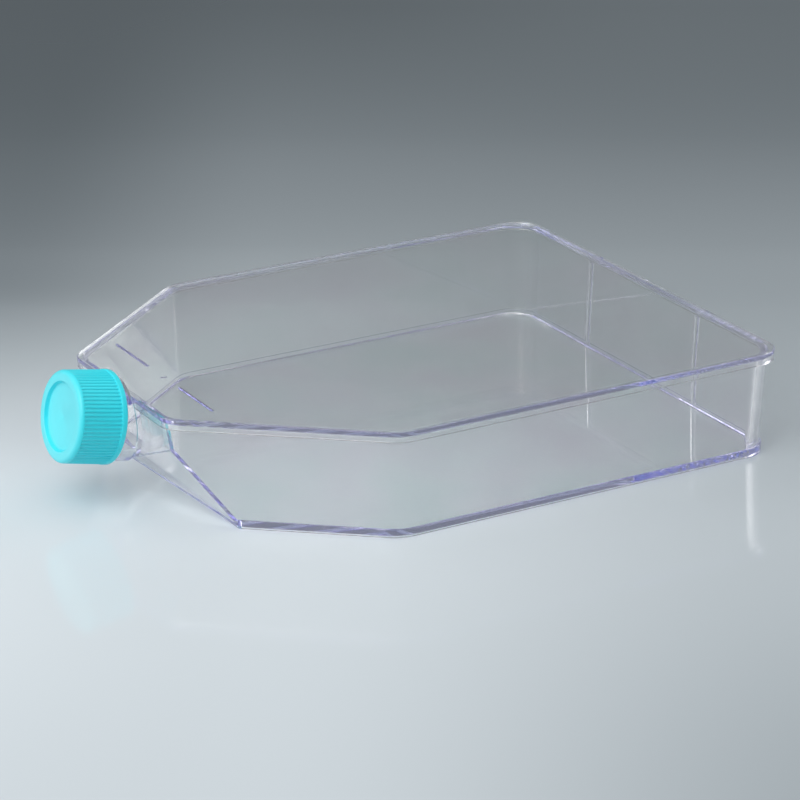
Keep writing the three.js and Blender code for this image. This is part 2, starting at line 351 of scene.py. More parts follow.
@dataclass(frozen=True)
class CapPlastic(MouldedPlastic):
    """Cap's plastic with painted light: its smooth face is painted paler, as the light that falls on it, and
    the ring at the step round the face's recess keeps the plain colour, as painted shade in the step.
    """

    root: Triple = (0.0, 0.0, 0.0)
    way: Triple = (0.0, 0.0, 1.0)
    # the face's colour is painted light; the distances after it place that light and the ring of painted shade
    # at the recess step
    lit_face_colour: Colour = (1.0, 1.0, 1.0, 1.0)
    step: float = 12.2 * MM
    fade: float = 0.972 * MM
    shade_reach: float = 0.243 * MM
    rise: float = 0.162 * MM
    shoulder: float = 14.6 * MM
    brim: float = 16.2 * MM

    def base(self, tree: Tree, place: Socket, level: float) -> Socket:
        """Colour by the distance from the cap's axis, with painted light over the face and painted shade at
        the recess step.

        Args:
            tree: the material's tree.
            place: object coordinates.
            level: what the colour is multiplied by.

        Returns:
            The colour.
        """
        arm = tree.vector("SUBTRACT", place, self.root)["Vector"]
        lever = tree.vector("CROSS_PRODUCT", arm, self.way)["Vector"]
        radius = tree.vector("LENGTH", lever)["Value"]
        # painted light over the face, and painted shade: the plain ring just inside the recess step
        face_painted_light, plain = scaled(self.lit_face_colour, level), scaled(self.colour, level)
        stops = [
            (self.step - self.fade, face_painted_light),
            (self.step - self.shade_reach, plain),
            (self.step, plain),
            (self.step + self.rise, face_painted_light),
            (self.shoulder, face_painted_light),
            (self.brim, plain),
        ]
        stops = [(distance / self.brim, colour) for distance, colour in stops]
        return tree.add("ShaderNodeValToRGB", {"stops": stops}, {"Fac": radius / self.brim})["Color"]


# ---- meshes ----


class Join(Enum):
    """Ways to combine two closed meshes."""

    ADD = "UNION"
    CUT = "DIFFERENCE"
    KEEP = "INTERSECT"


class Solid:
    """A closed mesh under construction, in the row frame."""

    def __init__(self, points: np.ndarray, faces: list[list[int]]) -> None:
        """Makes the mesh.

        Args:
            points: array of (n, 3) places.
            faces: lists of point numbers, counter-clockwise from outside.
        """
        mesh = bpy.data.meshes.new("solid")
        mesh.from_pydata(points.tolist(), [], faces)
        self.shape = bpy.data.objects.new("solid", mesh)
        bpy.context.scene.collection.objects.link(self.shape)

    def _combine(self, other: "Solid", way: Join) -> "Solid":
        """Joins or cuts this solid with another.

        Args:
            other: the other solid, which is used up.
            way: how the two are combined.

        Returns:
            This solid, changed.
        """
        modifier = self.shape.modifiers.new("combine", "BOOLEAN")
        modifier.solver = "MANIFOLD"
        modifier.operation = way.value
        modifier.object = other.shape
        graph = bpy.context.evaluated_depsgraph_get()
        combined = bpy.data.meshes.new_from_object(self.shape.evaluated_get(graph))
        if not combined.polygons:
            raise ValueError("a join or cut of two solids gave an empty mesh")
        self.shape.modifiers.clear()
        self.shape.data = combined
        bpy.data.objects.remove(other.shape)
        return self

    def __add__(self, other: "Solid") -> "Solid":
        """Both solids in one."""
        return self._combine(other, Join.ADD)

    def __sub__(self, other: "Solid") -> "Solid":
        """This solid without the other."""
        return self._combine(other, Join.CUT)

    def __and__(self, other: "Solid") -> "Solid":
        """What both solids share."""
        return self._combine(other, Join.KEEP)

    def finished(self, name: str, material: bpy.types.Material, sharp: float) -> bpy.types.Object:
        """Turns the solid into a finished piece.

        A clear piece is left with the true normals of its fine facets, so that light passes straight
        through its even walls; an opaque one has its curves smoothed.

        Args:
            name: the piece's name.
            material: its finish.
            sharp: edges that bend by more than this many degrees stay sharp, 0 for all of them.

        Returns:
            The piece's object.
        """
        tidy(self.shape.data, sharp)
        self.shape.name = name
        self.shape.data.name = name
        self.shape.data.materials.clear()
        self.shape.data.materials.append(material)
        return self.shape


def tidy(mesh: bpy.types.Mesh, sharp: float) -> None:
    """Merges doubled points, shades smooth and marks the edges that stay sharp.

    Args:
        mesh: the mesh to change.
        sharp: least bend of a sharp edge, in degrees, 0 to leave every face flat.
    """
    work = bmesh.new()
    work.from_mesh(mesh)
    bmesh.ops.remove_doubles(work, verts=work.verts, dist=MERGE)
    bmesh.ops.dissolve_degenerate(work, edges=work.edges, dist=MERGE / 2)
    for face in work.faces:
        face.smooth = sharp > 0
    for edge in work.edges:
        edge.smooth = edge.calc_face_angle(math.pi) <= math.radians(sharp)
    work.to_mesh(mesh)
    work.free()


def loft(loops: np.ndarray) -> Solid:
    """Closed skin through loops, the first and last filled.

    Args:
        loops: array of (rows, n, 3) places, each loop counter-clockwise seen from the last one.

    Returns:
        The solid.
    """
    rows, n = loops.shape[:2]
    i = np.arange(n)
    j = (i + 1) % n
    base = (np.arange(rows - 1) * n)[:, None]
    quads = np.stack([base + i, base + j, base + n + j, base + n + i], -1).reshape(-1, 4)
    faces = quads.tolist()
    faces.append(i[::-1].tolist())
    faces.append((i + (rows - 1) * n).tolist())
    return Solid(loops.reshape(-1, 3), faces)


def hull_faces(points: np.ndarray) -> np.ndarray:
    """Triangles of the convex body of points.

    Args:
        points: array of (n, 3).

    Returns:
        Array of (m, 3) point numbers, counter-clockwise from outside.
    """
    work = bmesh.new()
    for point in points:
        work.verts.new(point)
    work.verts.index_update()
    bmesh.ops.convex_hull(work, input=work.verts)
    faces = np.array([[v.index for v in face.verts] for face in work.faces])
    work.free()
    a, b, c = (points[faces[:, k]] for k in range(3))
    outward = (np.cross(b - a, c - a) * (a - points[np.unique(faces)].mean(0))).sum(1) > 0
    return np.where(outward[:, None], faces, faces[:, ::-1])


def hull(points: np.ndarray) -> Solid:
    """Convex body of points.

    Args:
        points: array of (n, 3).

    Returns:
        The solid.
    """
    faces = hull_faces(points)
    used, numbers = np.unique(faces, return_inverse=True)
    return Solid(points[used], numbers.reshape(-1, 3).tolist())


def within_hull(points: np.ndarray, wall: float, below: float, above: float) -> Solid:
    """Convex body whose faces lie a wall inside those of the convex body of points.

    Each face of the hull is a plane n.x = d that is moved in. The places where the moved planes meet are
    found through the dual body: a plane at distance d from the centre is the point n / d, and a face of the
    convex body of those points, with the plane m.q = e, is the corner m / e of the body looked for.

    Args:
        points: array of (n, 3).
        wall: distance between the two bodies' faces.
        below: that distance for the level bottom.
        above: that distance for the level top.

    Returns:
        The solid.
    """
    a, b, c = (points[hull_faces(points)[:, k]] for k in range(3))
    normal = np.cross(b - a, c - a)
    area = np.linalg.norm(normal, axis=1, keepdims=True)
    least, level = 1e-3 * MM * MM, 0.9999
    keep = area[:, 0] > least
    normal = normal[keep] / area[keep]
    moved = np.where(normal[:, 2] < -level, below, np.where(normal[:, 2] > level, above, wall))
    offset = (normal * a[keep]).sum(1) - moved
    per_turn, per_mm = 2e3, 50
    rounded = np.round(np.column_stack([normal * per_turn, offset / MM * per_mm]))
    _, first = np.unique(rounded, axis=0, return_index=True)
    normal, offset = normal[first], offset[first]
    centre = points.mean(0)
    dual = normal / (offset - normal @ centre)[:, None]
    a, b, c = (dual[hull_faces(dual)[:, k]] for k in range(3))
    face = np.cross(b - a, c - a)
    corners = centre + face / (face * a).sum(1)[:, None]
    inside = (corners @ normal.T - offset).max(1) < MERGE
    return hull(corners[inside])


def block(low: Triple, high: Triple) -> Solid:
    """Box between two corners.

    Args:
        low: its corner with the least x, y and z.
        high: its corner with the greatest.

    Returns:
        The solid.
    """
    (x0, y0, z0), (x1, y1, z1) = low, high
    ring = np.array([[x0, y0], [x1, y0], [x1, y1], [x0, y1]])
    return loft(np.stack([np.column_stack([ring, np.full(4, z)]) for z in (z0, z1)]))


def arc(centre: tuple[float, float], radius: float, start: float, end: float, steps: int = 5) -> np.ndarray:
    """Points of an arc in the profile plane, from one angle to another in degrees.

    Args:
        centre: the arc's centre as (across, up).
        radius: its radius.
        start: first angle.
        end: last angle.
        steps: segments.

    Returns:
        Array of (steps + 1, 2).
    """
    turn = np.radians(np.linspace(start, end, steps + 1))
    return np.column_stack([centre[0] + radius * np.cos(turn), centre[1] + radius * np.sin(turn)])


def around(radius: np.ndarray, height: np.ndarray, turn: np.ndarray) -> np.ndarray:
    """Places about +Z: x is the radius times the cosine of the turn, y times its sine, and z the height.

    Args:
        radius: array that fits the others.
        height: array that fits the others.
        turn: angles in radians.

    Returns:
        Array of (rows, n, 3).
    """
    return np.stack(np.broadcast_arrays(radius * np.cos(turn), radius * np.sin(turn), height), -1)


# ---- outline and neck axis ----


@dataclass(frozen=True)
class Footprint:
    """Six-sided outline that the plate and the tray share, symmetric about y = 0."""

    back: float
    length: float
    width: float
    shoulder: float = 158 * MM
    front_width: float = 71.8 * MM
    back_radius: float = 11 * MM
    shoulder_radius: float = 16 * MM
    front_radius: float = 9 * MM
    corner_steps: int = 36

    @property
    def slope(self) -> float:
        """Loss of half width per length along the taper."""
        return (self.width - self.front_width) / 2 / (self.length - self.shoulder)

    @property
    def front(self) -> float:
        """Place of the front edge."""
        return self.back - self.length

    def half_width(self, x: np.ndarray | float, inset: np.ndarray | float) -> np.ndarray | float:
        """Half width of the taper at x, with the outline moved in by inset."""
        edge = self.width / 2 + self.slope * (x - self.back + self.shoulder)
        return edge - inset * math.hypot(1, self.slope)

    def loop(self, z: float, inset: float, front: float, front_radius: float | None = None) -> np.ndarray:
        """Outline with each corner an arc tangent to its two sides.

        An arc's centre lies on the line that halves its corner, at the radius over the sine of half the
        corner's angle. It starts at the radius over the tangent from the corner, and turns through what
        the angle lacks of a half turn.

        Args:
            z: its height.
            inset: how far its sides are moved in.
            front: place of its front edge.
            front_radius: radius of the front corners, if not the outline's own.

        Returns:
            Array of (n, 3), counter-clockwise from above.
        """
        side = self.width / 2 - inset
        shoulder = self.back - self.shoulder
        shoulder += (side - self.half_width(shoulder, inset)) / self.slope
        corners = np.array(
            [
                [self.back - inset, side],
                [shoulder, side],
                [front, self.half_width(front, inset)],
            ]
        )
        corners = np.vstack([corners, (corners * [1, -1])[::-1]])
        nose = self.front_radius if front_radius is None else front_radius
        radii = np.array([self.back_radius, self.shoulder_radius, nose])
        radii = np.concatenate([radii, radii[::-1]])[:, None]
        before = np.roll(corners, 1, 0) - corners
        after = np.roll(corners, -1, 0) - corners
        before /= np.linalg.norm(before, axis=1, keepdims=True)
        after /= np.linalg.norm(after, axis=1, keepdims=True)
        half = np.arccos((before * after).sum(1, keepdims=True)) / 2
        middle = before + after
        middle /= np.linalg.norm(middle, axis=1, keepdims=True)
        centres = corners + middle * radii / np.sin(half)
        start = corners + before * radii / np.tan(half) - centres
        turn = (np.pi - 2 * half) * np.linspace(0, 1, self.corner_steps + 1)
        x = start[:, :1] * np.cos(turn) - start[:, 1:] * np.sin(turn) + centres[:, :1]
        y = start[:, :1] * np.sin(turn) + start[:, 1:] * np.cos(turn) + centres[:, 1:]
        return np.column_stack([x.ravel(), y.ravel(), np.full(x.size, z)])


@dataclass(frozen=True)
class NeckAxis:
    """The neck's axis: where it passes through the front wall, and its cant above the horizontal."""

    root: Triple
    cant: float = math.radians(11.6)

    @property
    def way(self) -> Triple:
        """Direction out of the flask."""
        return -math.cos(self.cant), 0.0, math.sin(self.cant)

    def place(self, points: np.ndarray) -> np.ndarray:
        """Moves points drawn about +Z onto the axis.

        Args:
            points: array of (..., 3), with z = 0 at the front wall.

        Returns:
            The array, turned by the cant and set at the root.
        """
        cosine, sine = math.cos(self.cant), math.sin(self.cant)
        turn = np.array([[sine, 0, -cosine], [0, 1, 0], [cosine, 0, sine]])
        return points @ turn.T + np.array(self.root)

    def turned(self, profile: np.ndarray, steps: int = 240) -> Solid:
        """Solid of revolution about the axis.

        Args:
            profile: array of (n, 2) radii and heights from one end disc to the other.
            steps: segments of a turn.

        Returns:
            The solid.
        """
        turn = np.linspace(0, 2 * np.pi, steps, endpoint=False)
        return loft(self.place(around(profile[:, :1], profile[:, 1:], turn)))

    def helix(self, radius: float, height: float, turns: float, start: float, thread: "Thread") -> Solid:
        """Trapezoid ridge that climbs about the axis by the pitch a turn and fades in and out.

        The section's height, and what its root is wider than its crest, are multiplied by the distance
        along the ridge from its nearer end over the length of the fade, at most 1.

        Args:
            radius: of the wall that it stands on.
            height: of the ridge, negative to point inwards.
            turns: its length.
            start: height of its lower end.
            thread: the other sizes.

        Returns:
            The solid, sunk a little into the wall.
        """
        steps = int(turns * thread.steps_per_turn)
        along = np.linspace(0, 1, steps + 1)[:, None]
        full = np.clip(np.minimum(along, 1 - along) / thread.fade, thread.least, 1)
        crest = thread.crest / 2
        root = crest + (thread.root / 2 - crest) * full
        side = math.copysign(thread.sunk, height)
        one = np.ones_like(along)
        base, wall, tip = one * (radius - side), one * radius, radius + height * full
        r = np.hstack([base, base, wall, tip, tip, wall])
        dz = np.hstack([-root, root, root, one * crest, -one * crest, -root])
        if height < 0:
            r, dz = r[:, ::-1], dz[:, ::-1]
        z = start + thread.pitch * turns * along + dz
        return loft(self.place(around(r, z, 2 * np.pi * turns * along)))


@dataclass(frozen=True)
class Thread:
    """Coarse trapezoid thread of the neck and the cap."""

    pitch: float = 4 * MM
    height: float = 1.05 * MM
    root: float = 1.7 * MM
    crest: float = 0.7 * MM
    turns: float = 1.5
    cap_turns: float = 1.4
    fade: float = 0.14
    least: float = 0.02
    sunk: float = 0.4 * MM
    steps_per_turn: int = 72


# ---- sub-assemblies ----


@dataclass
class TopPlate:
    """The clear plate with its standing rim and locating skirt."""

    footprint: Footprint
    axis: NeckAxis
    top: float
    relief: float
    rim_rise: float = 0.5 * MM
    rim_width: float = 2.15 * MM
    sheet: float = 1.3 * MM
    skirt_drop: float = 1.9 * MM
    skirt_wall: float = 1.4 * MM
    skirt_draft: float = 0.01 * MM
    edge: float = 0.25 * MM
    lip: float = 0.05 * MM
    mark_setback: float = 18.5 * MM
    mark_middle: float = 2 * MM
    mark_from: float = 12.4 * MM
    mark_length: float = 25 * MM
    mark_width: float = 1.2 * MM
    mark_rise: float = 0.5 * MM
    gate_radius: float = 1.1 * MM
    gate_rise: float = 0.25 * MM
    gate_shoulder: float = 0.12 * MM
    gate_steps: int = 40
    sunk: float = 0.3 * MM
    relief_span: tuple[float, float] = (-14 * MM, 18 * MM)

    def profile(self) -> np.ndarray:
        """Section of the plate's border, from its underside round to its top.

        Returns:
            Array of (n, 2): insets and heights.
        """
        under = self.top - self.rim_rise - self.sheet
        bottom = under - self.skirt_drop
        sheet = self.top - self.rim_rise
        e = self.edge
        return np.vstack(
            [
                [self.skirt_wall + self.skirt_draft, under],
                arc((self.skirt_wall - self.lip, bottom + self.lip), self.lip, 0, -90, 2),
                arc((self.lip, bottom + self.lip), self.lip, -90, -180, 2),
                arc((e, self.top - e), e, 180, 90),
                arc((self.rim_width - e, self.top - e), e, 90, 0),
                arc((self.rim_width + e, sheet + e), e, 180, 270),
            ]
        )

    def mark(self, low: float, high: float, x: float) -> Solid:
        """Low bar with a crowned top on the sheet, its section the upper half of an ellipse.

        Args:
            low: y of its one end.
            high: y of its other end.
            x: place of its middle line.

        Returns:
            The solid.
        """
        sheet = self.top - self.rim_rise
        half = self.mark_width / 2
        crown = arc((0, -self.sunk), 1, 0, 180, 8)
        section = np.column_stack([crown[:, 0] * half, crown[:, 1] * (self.mark_rise + self.sunk)])
        section[:, 1] += sheet - self.sunk - section[0, 1]
        y = np.repeat([[high], [low]], len(section), 1)
        return loft(np.stack(np.broadcast_arrays(x + section[:, 0], y, section[:, 1]), -1))

    def gate(self, x: float) -> Solid:
        """Low round button left by the mould's gate, a disc with a rounded shoulder.

        Args:
            x: place of its middle.

        Returns:
            The solid.
        """
        sheet = self.top - self.rim_rise
        shoulder = self.gate_shoulder
        ring = arc((self.gate_radius - shoulder, self.gate_rise - shoulder), shoulder, 0, 90, 3)
        profile = np.vstack([[self.gate_radius, -self.sunk], ring])
        turn = np.linspace(0, 2 * np.pi, self.gate_steps, endpoint=False)
        return loft(around(profile[:, :1], profile[:, 1:], turn) + (x, self.mark_middle, sheet))

    def build(self, material: bpy.types.Material) -> bpy.types.Object:
        """Plate with its relief round the neck, its marks and the mark of its gate.

        Args:
            material: its finish.

        Returns:
            The piece.
        """
        front = self.footprint.front
        loops = np.stack([self.footprint.loop(z, inset, front + inset) for inset, z in self.profile()])
        plate = loft(loops)
        under = self.top - self.rim_rise - self.sheet
        relief = self.axis.turned(np.array([[self.relief, height] for height in self.relief_span]))
        relief = relief & block((-FAR, -FAR, 0), (FAR, FAR, under))
        x = front + self.mark_setback
        near, far = self.mark_from, self.mark_from + self.mark_length
        plate = plate - relief
        plate = plate + self.mark(self.mark_middle + near, self.mark_middle + far, x)
        plate = plate + self.mark(self.mark_middle - far, self.mark_middle - near, x)
        plate = plate + self.gate(x)
        return plate.finished("clear_top_plate", material, sharp=0)


@dataclass
class FlaskBody:
    """The clear tray with its chute, foot bead and canted threaded neck."""

    footprint: Footprint
    axis: NeckAxis
    thread: Thread
    top: float
    inset: float
    clearance: float
    lean: float = math.tan(math.radians(2.25))
    wall: float = 1.8 * MM
    floor: float = 1.8 * MM
    floor_fillet: float = 0.8 * MM
    stand_height: float = 0.4 * MM
    stand_width: float = 1.8 * MM
    foot_inset: float = 2.45 * MM
    foot_height: float = 3.3 * MM
    foot_proud: float = 0.7 * MM
    foot_setback: float = 20.5 * MM
    foot_front_radius: float = 2.5 * MM
    foot_rounds: tuple[float, float] = (0.12 * MM, 0.3 * MM)
    corner_rise: float = 27.8 * MM
    knee_back: float = 2.2 * MM
    knee_drop: float = 2 * MM
    neck_length: float = 19.6 * MM
    collar_end: float = 6.9 * MM
    bore: float = 11.4 * MM
    tube: float = 13.3 * MM
    throat: float = 14.1 * MM
    collar: float = 15.3 * MM
    first_turn: float = 8.4 * MM
    rib_offset: float = 35.3 * MM
    rib_width: float = 2.4 * MM
    rib_depth: float = 1 * MM
    rib_edge: float = 0.8 * MM
    rib_top: float = 35.4 * MM
    rib_sunk: float = 0.4 * MM
    rib_foot: float = 0.6 * MM
    mouth_edge: float = 0.5 * MM
    fillet: float = 0.2 * MM
    slack: float = 0.05 * MM
    steps: int = 20

    def wall_inset(self, z: np.ndarray | float) -> np.ndarray | float:
        """How far the wall's outside lies within the plate's outline at height z."""
        return self.inset + (self.top - z) * self.lean

    def front_wall(self, z: np.ndarray | float) -> np.ndarray | float:
        """Place of the front wall's outside at height z."""
        return self.footprint.front + self.wall_inset(z)

    @property
    def foot_front(self) -> float:
        """Place of the foot's front edge."""
        return self.footprint.front + self.foot_setback

    def form(self) -> np.ndarray:
        """Points whose convex body is the tray with its chute.

        The chute's edges follow a curve with three control points: the foot's front, a knee behind and
        below the front wall's corner, and that corner.

        Returns:
            Array of (n, 3): the outlines of its top and of its floor, the edges between its taper walls
            and its chute, and the lower half of the neck where it meets the front wall.
        """
        start = self.foot_front + self.foot_proud
        rise = self.axis.root[2]
        rows = [self.footprint.loop(self.top, self.inset, self.front_wall(self.top))]
        rows.append(self.footprint.loop(0, self.wall_inset(0), start, self.foot_front_radius))
        end_z = self.corner_rise
        end_x = self.front_wall(end_z)
        t = np.linspace(0, 1, self.steps + 1)
        x = (1 - t) ** 2 * start + 2 * t * (1 - t) * (end_x + self.knee_back) + t**2 * end_x
        z = 2 * t * (1 - t) * (end_z - self.knee_drop) + t**2 * end_z
        y = self.footprint.half_width(x, self.wall_inset(z))
        turn = math.pi / 2 - math.atan(self.footprint.slope)
        y[-1] -= self.footprint.front_radius * math.tan(turn / 2)
        rows += [np.column_stack([x, side * y, z]) for side in (-1, 1)]
        turn = np.linspace(0, np.pi, 4 * self.steps + 1)[1:-1]
        z = rise - self.throat * np.sin(turn) / math.cos(self.axis.cant)
        rows.append(np.column_stack([self.front_wall(z), self.throat * np.cos(turn), z]))
        return np.vstack(rows)

    def hollow(self, form: np.ndarray) -> Solid:
        """Space inside the tray, a wall within its form, with a small fillet round its floor.

        Args:
            form: the points of the tray's form.

        Returns:
            The solid to cut.
        """
        floor = self.stand_height + self.floor
        above = self.top + self.clearance
        space = within_hull(form, self.wall, floor, -self.clearance)
        r = self.floor_fillet
        side = self.wall - self.slack
        corner = arc((side + r, floor + r), r, 270, 180, 8)
        profile = np.vstack([corner, [side, above + PAST]])
        front = self.footprint.front
        loops = [self.footprint.loop(z, self.wall_inset(z) + i, front + i) for i, z in profile]
        return space & hull(np.vstack(loops))

    def slab(self, profile: np.ndarray) -> Solid:
        """Slab with the foot's outline, moved in as the profile says.

        Args:
            profile: array of (n, 2) insets and heights, from its lowest to its highest loop.

        Returns:
            The solid.
        """
        loops = [
            self.footprint.loop(z, self.foot_inset + i, self.foot_front + i, self.foot_front_radius)
            for i, z in profile
        ]
        return loft(np.stack(loops))

    def foot(self) -> Solid:
        """Bead round the foot, with rounded edges.

        Returns:
            The solid.
        """
        low, high = self.foot_rounds
        under, over = (low, low), (high, self.foot_height - high)
        return self.slab(np.vstack([arc(under, low, 270, 180, 3), arc(over, high, 180, 90)]))

    def under_floor(self) -> Solid:
        """Space under the floor, inside the ring that the flask stands on.

        Returns:
            The solid to cut.
        """
        r = self.fillet
        rise = arc((self.stand_width + r, self.stand_height - r), r, 180, 90, 4)
        return self.slab(np.vstack([[self.stand_width, -PAST], rise]))

    def neck(self, start: float, collar_back: float) -> Solid:
        """Outside of the neck, stepped down under the cap.

        Args:
            start: height along the axis at which it begins, inside the tray.
            collar_back: the collar stands in front of this x.

        Returns:
            The solid.
        """
        e, r = self.mouth_edge, self.fillet
        tube = np.vstack(
            [
                [self.throat, start],
                [self.throat, self.collar_end - e],
                arc((self.tube + r, self.collar_end - e + r), r, 270, 180, 3),
                arc((self.tube - e, self.neck_length - e), e, 0, 90),
            ]
        )
        collar = np.vstack(
            [
                [self.collar, start],
                arc((self.collar - e, self.collar_end - e), e, 0, 90),
                [self.tube - PAST, self.collar_end],
            ]
        )
        ahead = block((-FAR, -FAR, -FAR), (collar_back, FAR, FAR))
        return self.axis.turned(tube) + (self.axis.turned(collar) & ahead)

    def rib(self, y: float) -> Solid:
        """Upright rib outside the back wall, a flat bar with rounded edges that leans with the wall.

        Args:
            y: place of its middle.

        Returns:
            The solid, sunk a little into the wall and into the bead below it.
        """
        half, e = self.rib_width / 2, self.rib_edge
        section = np.vstack(
            [
                [-self.rib_sunk, -half],
                arc((self.rib_depth - e, e - half), e, -90, 0),
                arc((self.rib_depth - e, half - e), e, 0, 90),
                [-self.rib_sunk, half],
            ]
        )
        z = np.array([[self.foot_height - self.rib_foot], [self.rib_top]])
        face = self.footprint.back - self.wall_inset(z)
        return loft(np.stack(np.broadcast_arrays(face + section[:, 0], y + section[:, 1], z), -1))

    def build(self, material: bpy.types.Material) -> bpy.types.Object:
        """Tray, chute, bead and neck in one clear moulding.

        Args:
            material: its finish.

        Returns:
            The piece.
        """
        stop = self.footprint.front - self.clearance
        within = -self.throat / 2
        form = self.form()
        body = hull(form) + self.foot() + self.neck(within, stop)
        body = body - block((stop, -FAR, self.top), (FAR, FAR, FAR))
        start = self.neck_length - self.first_turn
        body = body + self.axis.helix(self.tube, self.thread.height, self.thread.turns, start, self.thread)
        body = body - self.hollow(form)
        body = body - self.under_floor()
        e = self.mouth_edge
        mouth = self.neck_length
        flare = np.vstack(
            [
                [self.bore, within],
                arc((self.bore + e, mouth - e), e, 180, 90),
                [self.bore + e, mouth + PAST],
            ]
        )
        bore = self.axis.turned(flare) - block((stop - self.wall, -FAR, self.top - self.wall), (FAR, FAR, FAR))
        body = body - bore
        for side in (-1, 1):
            body = body + self.rib(side * self.rib_offset)
        return body.finished("clear_flask_body", material, sharp=0)


@dataclass
class ScrewCap:
    """The ribbed cap with its flange, sunken face, liner bead and thread."""

    axis: NeckAxis
    thread: Thread
    start: float = 7.2 * MM
    length: float = 17.75 * MM
    bore: float = 14.65 * MM
    skirt: float = 16.42 * MM
    face: float = 16.17 * MM
    flange: float = 16.58 * MM
    flange_length: float = 1.9 * MM
    recess: float = 12.2 * MM
    recess_depth: float = 1.4 * MM
    roof: float = 1.65 * MM
    ribs: int = 72
    rib_depth: float = 0.4 * MM
    rib_steepness: float = 0.85
    edge: float = 1.6 * MM
    columns_per_rib: int = 12
    roof_fillet: float = 0.3 * MM
    rounding: float = 0.25 * MM
    rib_margins: tuple[float, float] = (0.15 * MM, 0.5 * MM)
    bead: float = 13.9 * MM
    bead_heights: tuple[float, ...] = (19.6 * MM, 19.3 * MM, 18.9 * MM, 18.2 * MM)
    recess_edge: float = 0.2 * MM
    recess_fillet: float = 0.35 * MM
    recess_draft: float = 0.3 * MM
    button: tuple[float, float] = (1.1 * MM, 0.8 * MM)
    button_depth: float = 0.12 * MM
    tip: float = 0.01 * MM
    ridge_start: float = 9.811 * MM
    sharp: float = 32.0

    def rows(self) -> list[tuple[np.ndarray | list[list[float]], int]]:
        """Section of the cap as stretches of (radius, height), each with 1 where it is ribbed, else 0.

        Returns:
            The stretches, from the middle of the roof's underside round to the middle of the face.
        """
        end = self.start + self.length
        face = end - self.recess_depth
        top = face - self.roof
        flange_top = self.start + self.flange_length
        below, above = self.rib_margins
        r, f, e = self.rounding, self.roof_fillet, self.edge
        bead = zip((self.bore, self.bead, self.bead, self.bore), self.bead_heights)
        inner = self.recess - self.recess_draft
        sunk = face - self.button_depth
        return [
            ([[self.tip, top], [self.bore - f, top]], 0),
            (arc((self.bore - f, top - f), f, 90, 0, 3), 0),
            ([list(point) for point in bead], 0),
            (arc((self.bore + r, self.start + r), r, 180, 270, 3), 0),
            (arc((self.flange - r, self.start + r), r, 270, 360, 4), 0),
            (arc((self.flange - r, flange_top - r), r, 0, 80, 4), 0),
            ([[self.skirt, flange_top]], 0),
            ([[self.skirt, flange_top + below], [self.face, end - e - above]], 1),
            (arc((self.face - e, end - e), e, 0, 90, 8), 0),
            (arc((self.recess + self.recess_edge, end - self.recess_edge), self.recess_edge, 90, 180, 3), 0),
            (arc((inner - self.recess_fillet, face + self.recess_fillet), self.recess_fillet, 0, -90, 4), 0),
            ([[self.button[0], face], [self.button[1], sunk], [self.tip, sunk]], 0),
        ]

    def build(self, material: bpy.types.Material) -> bpy.types.Object:
        """Cap as one surface of angle and profile, with ribs where the profile says so.

        A rib's valley lowers the radius by the depth times a wave of the angle, cut off at 0 and 1, so
        that crests and valleys are flat.

        Args:
            material: its finish.

        Returns:
            The piece.
        """
        rows = self.rows()
        profile = np.vstack([r for r, _ in rows])
        ribbed = np.concatenate([np.full(len(r), flag) for r, flag in rows])[:, None]
        columns = self.ribs * self.columns_per_rib
        turn = np.linspace(0, 2 * np.pi, columns, endpoint=False)
        wave = np.clip(0.5 - self.rib_steepness * np.cos(self.ribs * turn), 0, 1)
        radius = profile[:, :1] - ribbed * self.rib_depth * wave
        cap = loft(self.axis.place(around(radius, profile[:, 1:], turn)))
        turns = self.thread.cap_turns
        cap = cap + self.axis.helix(self.bore, -self.thread.height, turns, self.ridge_start, self.thread)
        return cap.finished("ribbed_screw_cap", material, self.sharp)


# ---- stage ----


@dataclass(frozen=True)
class View:
    """The camera's place, its turn from +X towards +Y, its dip and its lens."""

    place: Triple = (-0.5519, -0.9739, 0.4531)
    turn: float = 59.81
    dip: float = 21.36
    lens: float = 149.49
    sensor: float = 36.0
    clip: tuple[float, float] = (0.01, 30.0)

    def build(self) -> None:
        """Makes the scene's camera."""
        data = bpy.data.cameras.new("camera")
        data.lens = self.lens
        data.sensor_width = self.sensor
        data.clip_start, data.clip_end = self.clip
        camera = bpy.data.objects.new("camera", data)
        camera.location = self.place
        camera.rotation_euler = Euler((math.radians(90 - self.dip), 0, math.radians(self.turn - 90)))
        bpy.context.scene.collection.objects.link(camera)
        bpy.context.scene.camera = camera


